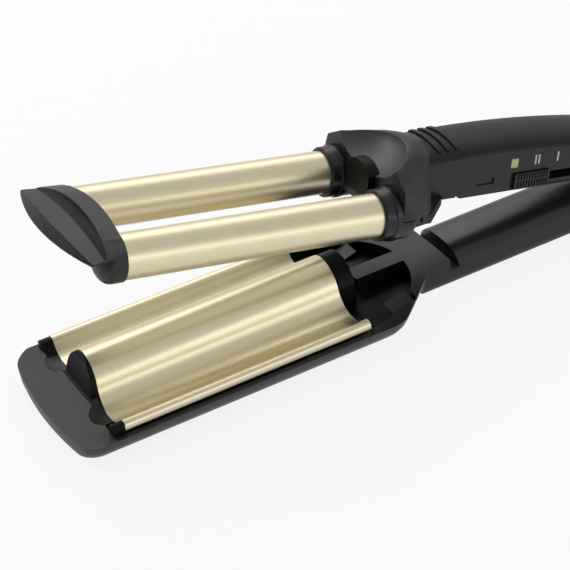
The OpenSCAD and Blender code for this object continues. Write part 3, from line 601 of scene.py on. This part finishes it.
def makeNose(settings):
    bm = bmesh.new()
    bmesh.ops.create_circle(bm, cap_ends=True, segments=settings["segments"],
                            radius=settings["radius"])
    half = settings["half"]
    cuts = [((half, 0, 0), (1, 0, 0)), ((-half, 0, 0), (-1, 0, 0)),
            ((0, settings["floor"] - settings["height"], 0), (0, -1, 0))]
    for point, normal in cuts:
        bmesh.ops.bisect_plane(bm, geom=wholeOf(bm), plane_co=point, plane_no=normal,
                               clear_outer=True)
    extruded = bmesh.ops.extrude_face_region(bm, geom=bm.faces[:])
    moved = [item for item in extruded["geom"] if isinstance(item, bmesh.types.BMVert)]
    bmesh.ops.translate(bm, verts=moved, vec=(0, 0, settings["rear"] - settings["front"]))
    bmesh.ops.recalc_face_normals(bm, faces=bm.faces)
    # The profile's plane stands across the arm, its own height turned up.
    bm.transform(Matrix((
        (0, 0, 1, settings["front"]),
        (1, 0, 0, 0),
        (0, 1, 0, settings["height"]),
        (0, 0, 0, 1),
    )))
    bm.transform(toUpper)
    mesh = meshFrom("headNose", bm)
    softenEdges(mesh, settings["sharp"])
    # The boss takes black plastic, a darker copy of the head's own plastic, as painted shade.
    nose = addPiece("headNose", mesh, "upper_arm", "charcoal_plastic", blackPlastic)
    roundEdges(nose, **settings["edge"])


makeNose(headNose)
print("head moulded")

# The switch positions are printed on the handle's side.
switchMarks = {
    "side": -0.0155, "proud": 0.00006, "low": 0.0083, "high": 0.0128,
    "bar": 0.0008, "corner": 0.00024, "cornerSteps": 4, "pitch": 0.0018,
    "twoAt": -0.0676, "oneAt": -0.0566, "offAt": -0.0456,
    "ring": 0.0019, "line": 0.0007, "ringSteps": 48, "weld": 1e-6,
}


def isCorner(edge):
    # A corner of the bar's outline runs through the print's thickness.
    run = edge.verts[1].co - edge.verts[0].co
    return max(abs(run.x), abs(run.z)) < switchMarks["weld"]


def addMark(name, bm, x, settings):
    middle = (settings["low"] + settings["high"]) / 2
    bmesh.ops.translate(bm, verts=bm.verts, vec=(x, settings["side"], middle))
    bm.transform(toUpper)
    addPiece(name, meshFrom(name, bm), "upper_arm", "charcoal_plastic", markPaint)


def printedBar(name, x, settings):
    bm = bmesh.new()
    bmesh.ops.create_cube(bm, size=1)
    height = settings["high"] - settings["low"]
    bmesh.ops.scale(bm, verts=bm.verts, vec=(settings["bar"], 2 * settings["proud"], height))
    bmesh.ops.bevel(bm, geom=[edge for edge in bm.edges if isCorner(edge)],
                    offset=settings["corner"], segments=settings["cornerSteps"],
                    profile=0.5, affect="EDGES", material=-1)
    addMark(name, bm, x, settings)


def printedRing(name, x, settings):
    bm = bmesh.new()
    section = bmesh.ops.create_grid(bm, x_segments=1, y_segments=1, size=0.5)["verts"]
    bmesh.ops.scale(bm, verts=section, vec=(settings["line"], 2 * settings["proud"], 1))
    bmesh.ops.translate(bm, verts=section, vec=(settings["ring"], 0, 0))
    bmesh.ops.spin(bm, geom=wholeOf(bm), cent=(0, 0, 0), axis=(0, 1, 0),
                   angle=radians(360), steps=settings["ringSteps"], use_merge=True)
    bmesh.ops.remove_doubles(bm, verts=bm.verts, dist=settings["weld"])
    bmesh.ops.recalc_face_normals(bm, faces=bm.faces)
    addMark(name, bm, x, settings)


printedBar("markTwoFront", switchMarks["twoAt"] - switchMarks["pitch"] / 2, switchMarks)
printedBar("markTwoRear", switchMarks["twoAt"] + switchMarks["pitch"] / 2, switchMarks)
printedBar("markOne", switchMarks["oneAt"], switchMarks)
printedRing("markOff", switchMarks["offAt"], switchMarks)
print("switch marks printed")

studioFloor = {
    "size": 6.0, "color": (0.86, 0.86, 0.865), "rough": 0.9,
    "glow": {"seen": 0.86, "mirrored": 0.80},
}


def makeFloor(settings):
    bm = bmesh.new()
    bmesh.ops.create_grid(bm, x_segments=1, y_segments=1, size=settings["size"] / 2)
    floor = addToScene("studioFloor", meshFrom("studioFloor", bm))
    material, tree, shader = startMaterial("floorPaper", Roughness=settings["rough"])
    shader.inputs["Base Color"].default_value = (*settings["color"], 1)
    # Most of what the camera and the mirrored rays see of the floor is an even glow.
    paths = addNode(tree, "ShaderNodeLightPath")
    mirrored = addNode(tree, "ShaderNodeMath", {
        0: paths.outputs["Is Glossy Ray"], 1: settings["glow"]["mirrored"],
    }, operation="MULTIPLY")
    seen = addNode(tree, "ShaderNodeMath", {
        0: paths.outputs["Is Camera Ray"], 1: settings["glow"]["seen"], 2: mirrored.outputs[0],
    }, operation="MULTIPLY_ADD")
    glow = addNode(tree, "ShaderNodeEmission", {"Color": (1, 1, 1, 1), "Strength": 1.0})
    blend = addNode(tree, "ShaderNodeMixShader", {
        "Fac": seen.outputs[0], 1: shader.outputs[0], 2: glow.outputs[0],
    })
    tree.links.new(blend.outputs[0], tree.nodes["Material Output"].inputs["Surface"])
    floor.data.materials.append(material)


makeFloor(studioFloor)

# Each lamp is a soft box, its power worked out from its radiance.
studioLamps = {
    "backBox": {
        "place": (0.1, 1.25, 1.3), "aim": (-0.15, 0, 0.03), "size": (2.4, 1.1), "radiance": 1.5,
    },
    "frontBox": {
        "place": (0.35, -1.6, 0.26), "aim": (-0.15, 0, 0.03), "size": (2.4, 0.46), "radiance": 1.4,
    },
    "tipBox": {
        "place": (-0.95, 0.95, 1.15), "aim": (-0.16, 0, 0.06), "size": (0.5, 0.5), "radiance": 5.0,
    },
}


def makeLamp(name, settings):
    width, height = settings["size"]
    light = bpy.data.lights.new(name, "AREA")
    light.shape = "RECTANGLE"
    light.size, light.size_y = width, height
    light.energy = settings["radiance"] * pi * width * height
    lamp = addToScene(name, light)
    lamp.location = settings["place"]
    aim = Vector(settings["aim"]) - Vector(settings["place"])
    lamp.rotation_euler = aim.to_track_quat("-Z", "Y").to_euler()


for name, settings in studioLamps.items():
    makeLamp(name, settings)

# The room is dimmer on the side that the tip points to, and plain white to the camera.
studioRoom = {"strength": 0.66, "tipShare": 0.25, "tipEnd": -0.9, "fullEnd": 0.1}


def makeRoom(settings):
    world = bpy.data.worlds.new("studioWorld")
    bpy.context.scene.world = world
    world.use_nodes = True
    tree = world.node_tree
    direction = addNode(tree, "ShaderNodeTexCoord").outputs["Generated"]
    along = addNode(tree, "ShaderNodeSeparateXYZ", {"Vector": direction}).outputs["X"]
    strength = addNode(tree, "ShaderNodeMapRange", {
        "Value": along, "From Min": settings["tipEnd"], "From Max": settings["fullEnd"],
        "To Min": settings["strength"] * settings["tipShare"], "To Max": settings["strength"],
    })
    room = tree.nodes["Background"]
    room.inputs["Color"].default_value = (1, 1, 1, 1)
    tree.links.new(strength.outputs["Result"], room.inputs["Strength"])
    white = addNode(tree, "ShaderNodeBackground", {"Color": (1, 1, 1, 1), "Strength": 1.0})
    paths = addNode(tree, "ShaderNodeLightPath")
    blend = addNode(tree, "ShaderNodeMixShader", {
        "Fac": paths.outputs["Is Camera Ray"], 1: room.outputs[0], 2: white.outputs[0],
    })
    tree.links.new(blend.outputs[0], tree.nodes["World Output"].inputs["Surface"])


makeRoom(studioRoom)
bpy.context.scene.view_settings.view_transform = "Standard"
print("studio lit")

bpy.context.view_layer.update()
